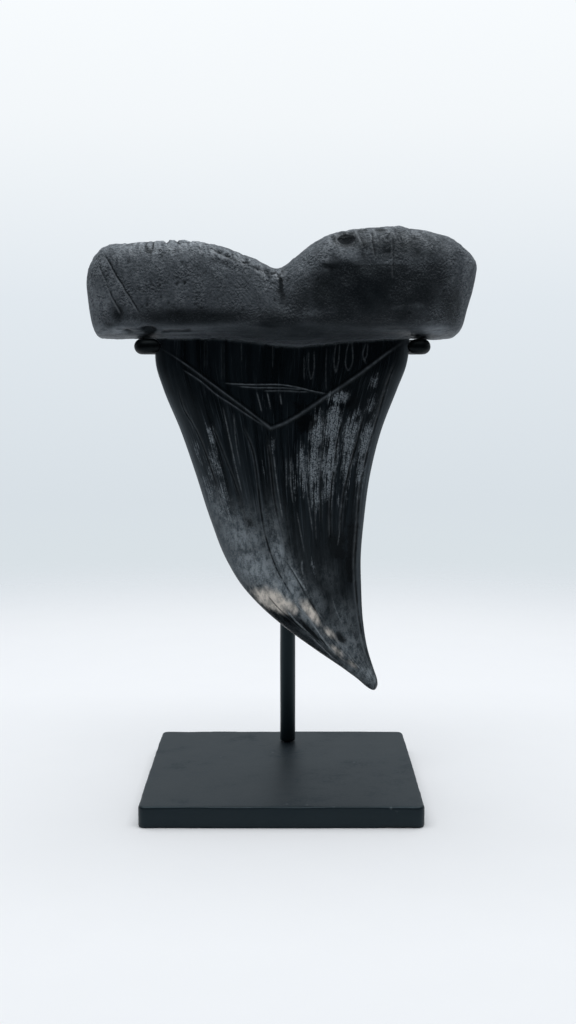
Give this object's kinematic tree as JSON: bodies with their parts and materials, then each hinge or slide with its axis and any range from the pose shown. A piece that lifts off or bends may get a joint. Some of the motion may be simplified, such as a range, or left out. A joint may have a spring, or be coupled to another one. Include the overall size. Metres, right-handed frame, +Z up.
{
  "type": "fossil megalodon tooth on a display stand",
  "caption": "Black fossil megalodon tooth, crown down, with a two-lobed root resting on a bent rod cradle, held by a thin post on a square plate.",
  "frame": {"origin": "centre of the underside of the square base plate", "axes": "+Z up from the base plate towards the root of the tooth; -Y is the front, where the bulging face of the tooth looks; +X is to the viewer's right"},
  "size_m": [0.1298, 0.0888, 0.1875],
  "materials": {
    "fossil": "glossy mineralised enamel on the crown, matt bark-like root",
    "black_coat": "satin black powder coat",
    "screw_steel": "black oxide"
  },
  "bodies": {
    "root": {"tooth": "fossil", "base_plate": "black_coat", "post": "black_coat", "cradle": "black_coat", "post_screw": "screw_steel"}
  },
  "joints": []
}
